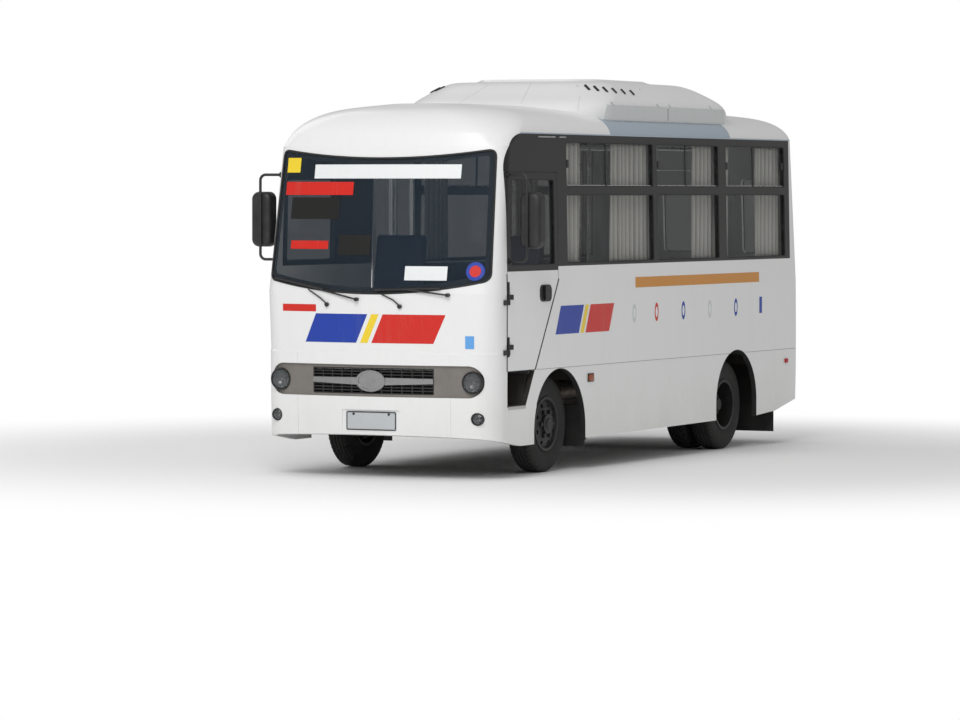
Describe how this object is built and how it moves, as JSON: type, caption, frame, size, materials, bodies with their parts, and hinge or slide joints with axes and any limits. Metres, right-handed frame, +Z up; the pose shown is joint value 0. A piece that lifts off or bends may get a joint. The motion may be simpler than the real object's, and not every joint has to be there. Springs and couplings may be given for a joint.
{
  "type": "minibus",
  "caption": "Forward-control passenger minibus with side windows, roof air-conditioner fairing, steered front wheels, twin rear wheels, and swinging and folding doors",
  "frame": {"origin": "Centre of the bounding box at road level: midway between the sides and between front and rear, on the plane that the tyres stand on", "axes": "+X is the bus's left side, +Y points to its rear, so the front looks along -Y, and +Z is up"},
  "size_m": [2.56, 6.5499, 3.1819],
  "materials": {
    "body_paint": "gloss white paint",
    "black_paint": "gloss black paint",
    "grey_paint": "satin grey paint",
    "band_plastic": "matt dark warm grey plastic",
    "black_plastic": "matt black plastic",
    "bright_trim": "satin bright metal",
    "lamp_lens": "clear moulded lens",
    "signal_lens": "red and orange moulded lens",
    "clear_glass": "clear slightly green glass",
    "plate": "plain white plate",
    "frame_paint": "satin black chassis paint",
    "engine_iron": "dark cast iron",
    "spring_steel": "dark weathered steel",
    "exhaust_steel": "dull steel",
    "rim_paint": "dark dusty paint",
    "tyre_rubber": "worn black rubber",
    "flap_rubber": "black rubber sheet",
    "floor_vinyl": "grey ribbed vinyl",
    "trim_plastic": "grey moulded plastic",
    "seat_metal": "grey painted metal",
    "seat_cover": "dark blue leatherette",
    "curtain_cloth": "beige-grey pleated cloth",
    "rail_steel": "stainless tube"
  },
  "bodies": {
    "body": {"front_panel": "body_paint", "windscreen": "clear_glass", "front_bumper": "body_paint", "lamp_band": "band_plastic", "grille": "black_plastic", "grille_bar": "bright_trim", "front_lamps": "lamp_lens", "number_plates": "plate", "side_left": "body_paint", "side_right": "body_paint", "window_bands": "black_paint", "window_glass": "clear_glass", "rear_wall": "body_paint", "roof_front": "body_paint", "roof_middle": "body_paint", "roof_rear": "body_paint", "roof_pod": "body_paint", "pod_skirts": "grey_paint", "door_hinges": "black_paint", "floor": "floor_vinyl", "step_wells": "black_paint", "chassis_frame": "frame_paint", "leaf_springs": "spring_steel", "engine": "engine_iron", "rear_axle": "frame_paint", "front_axle": "frame_paint", "cab_trim": "trim_plastic", "seat_frames": "seat_metal", "seat_cushions": "seat_cover", "curtains": "curtain_cloth", "handrails": "rail_steel", "fuel_tank": "frame_paint", "exhaust": "exhaust_steel", "mudflaps": "flap_rubber", "rear_bumper": "body_paint", "signal_lamps": "signal_lens", "wipers": "black_plastic", "mirror_right": "black_plastic"},
    "door_driver": {"driver_door": "body_paint", "driver_door_frame": "black_paint", "driver_door_glass": "clear_glass", "mirror_left": "black_plastic"},
    "door_rear": {"rear_door": "body_paint", "rear_door_glass": "clear_glass"},
    "entry_front": {"entry_leaf_front": "body_paint", "entry_glass_front": "clear_glass"},
    "entry_rear": {"entry_leaf_rear": "body_paint", "entry_glass_rear": "clear_glass"},
    "hub_left": {"knuckle_left": "spring_steel"},
    "hub_right": {"knuckle_right": "spring_steel"},
    "track_rod": {"tie_rod": "spring_steel"},
    "wheel_front_left": {"tyre_front_left": "tyre_rubber", "rim_front_left": "rim_paint"},
    "wheel_front_right": {"tyre_front_right": "tyre_rubber", "rim_front_right": "rim_paint"},
    "wheels_rear_left": {"tyres_rear_left": "tyre_rubber", "rims_rear_left": "rim_paint"},
    "wheels_rear_right": {"tyres_rear_right": "tyre_rubber", "rims_rear_right": "rim_paint"},
    "steering": {"steering_wheel": "black_plastic"}
  },
  "joints": [
    {"name": "steer_left", "type": "hinge", "parent": "body", "child": "hub_left", "pos_m": [0.68, -1.91915, 0.3875], "axis": [0, 0, 1], "range_deg": [-35, 35]},
    {"name": "steer_right", "type": "hinge", "parent": "body", "child": "hub_right", "pos_m": [-0.68, -1.91915, 0.3875], "axis": [0, 0, 1], "range_deg": [-35, 35]},
    {"name": "track_rod_pivot", "type": "hinge", "parent": "hub_left", "child": "track_rod", "pos_m": [0.68, -1.72915, 0.268], "axis": [0, 0, 1], "range_deg": [-35, 35]},
    {"name": "steering_wheel_turn", "type": "hinge", "parent": "body", "child": "steering", "pos_m": [0.5, -2.47315, 1.425], "axis": [0, 0.4695, 0.8829], "range_deg": [-720, 720]},
    {"name": "spin_front_left", "type": "hinge", "parent": "hub_left", "child": "wheel_front_left", "pos_m": [0.809, -1.91915, 0.3875], "axis": [1, 0, 0], "continuous": true},
    {"name": "spin_front_right", "type": "hinge", "parent": "hub_right", "child": "wheel_front_right", "pos_m": [-0.809, -1.91915, 0.3875], "axis": [1, 0, 0], "continuous": true},
    {"name": "spin_rear_left", "type": "hinge", "parent": "body", "child": "wheels_rear_left", "pos_m": [0.6915, 1.72385, 0.3875], "axis": [1, 0, 0], "continuous": true},
    {"name": "spin_rear_right", "type": "hinge", "parent": "body", "child": "wheels_rear_right", "pos_m": [-0.6915, 1.72385, 0.3875], "axis": [1, 0, 0], "continuous": true},
    {"name": "driver_door_swing", "type": "hinge", "parent": "body", "child": "door_driver", "pos_m": [1.034, -2.89315, 1.2], "axis": [0, 0, -1], "range_deg": [0, 65]},
    {"name": "rear_door_swing", "type": "hinge", "parent": "body", "child": "door_rear", "pos_m": [0.387, 3.25885, 1.3], "axis": [0, 0, -1], "range_deg": [0, 100]},
    {"name": "entry_door_pivot", "type": "hinge", "parent": "body", "child": "entry_front", "pos_m": [-0.97, -1.30315, 1.4], "axis": [0, 0, -1], "range_deg": [0, 80]},
    {"name": "entry_door_fold", "type": "hinge", "parent": "entry_front", "child": "entry_rear", "pos_m": [-0.98, -0.97315, 1.4], "axis": [0, 0, -1], "range_deg": [-160, 0]}
  ],
  "couplings": [
    {"joint": "steer_right", "follows": "steer_left", "ratio": 1},
    {"joint": "track_rod_pivot", "follows": "steer_left", "ratio": -1},
    {"joint": "steering_wheel_turn", "follows": "steer_left", "ratio": 20.571},
    {"joint": "entry_door_fold", "follows": "entry_door_pivot", "ratio": -2}
  ]
}
